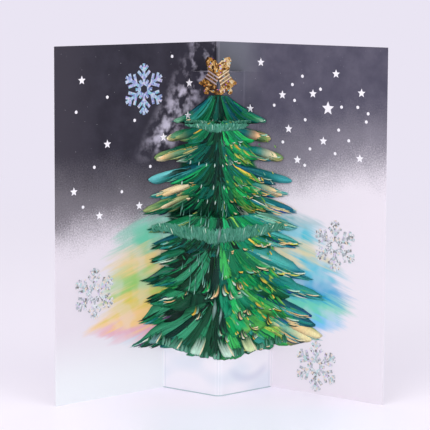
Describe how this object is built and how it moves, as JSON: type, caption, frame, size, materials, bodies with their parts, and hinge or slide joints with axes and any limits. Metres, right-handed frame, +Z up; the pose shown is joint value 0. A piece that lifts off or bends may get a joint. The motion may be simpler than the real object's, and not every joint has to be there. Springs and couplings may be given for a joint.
{
  "type": "pop up card",
  "caption": "Standing fold-out greeting card whose printed inner sheet is cut and folded into a stepped conifer that rises off the spine, with a gold foil topper.",
  "frame": {"origin": "centre of the box that holds the open card, on the surface that it stands on", "axes": "+Z up along the spine, +X to the viewer's right, +Y from the viewer towards the spine at the back"},
  "size_m": [0.163, 0.062, 0.178],
  "materials": {
    "cover_card": "smooth white art board",
    "pearl_paper": "gloss laminated",
    "gold_foil": "glitter holographic foil",
    "silver_foil": "hot stamped foil",
    "night_ink": "gloss laminated print",
    "dusk_ink": "gloss laminated print",
    "snow_ink": "gloss laminated print",
    "bough_ink": "gloss laminated print",
    "shade_ink": "gloss laminated print",
    "emerald_ink": "gloss laminated print",
    "lime_ink": "gloss laminated print",
    "teal_ink": "gloss laminated print",
    "mint_ink": "gloss laminated print",
    "gold_ink": "gloss laminated print",
    "peach_ink": "gloss laminated print",
    "aqua_ink": "gloss laminated print",
    "frost_ink": "gloss laminated print"
  },
  "bodies": {
    "root": {"bell_topper": "gold_foil", "cover": "cover_card", "foil_snowflake_lower_left": "silver_foil", "foil_snowflake_lower_right": "silver_foil", "foil_snowflake_upper_left": "silver_foil", "foil_snowflake_upper_right": "silver_foil", "pop_up_sheet": "pearl_paper", "print_bough_row_1": "bough_ink", "print_bough_row_2": "bough_ink", "print_bough_row_3": "bough_ink", "print_bough_row_4": "bough_ink", "print_bough_row_5": "bough_ink", "print_bough_row_6": "bough_ink", "print_bough_row_7": "bough_ink", "print_bough_row_8": "bough_ink", "print_bough_row_9": "bough_ink", "print_cool_wash": "aqua_ink", "print_dusk": "dusk_ink", "print_frost_lower": "frost_ink", "print_frost_upper": "frost_ink", "print_leaves_emerald": "emerald_ink", "print_leaves_gold": "gold_ink", "print_leaves_lime": "lime_ink", "print_leaves_mint": "mint_ink", "print_leaves_shade": "shade_ink", "print_leaves_teal": "teal_ink", "print_night_sky": "night_ink", "print_snow_clouds": "snow_ink", "print_snow_dots": "snow_ink", "print_stars": "snow_ink", "print_warm_wash": "peach_ink"}
  },
  "joints": []
}
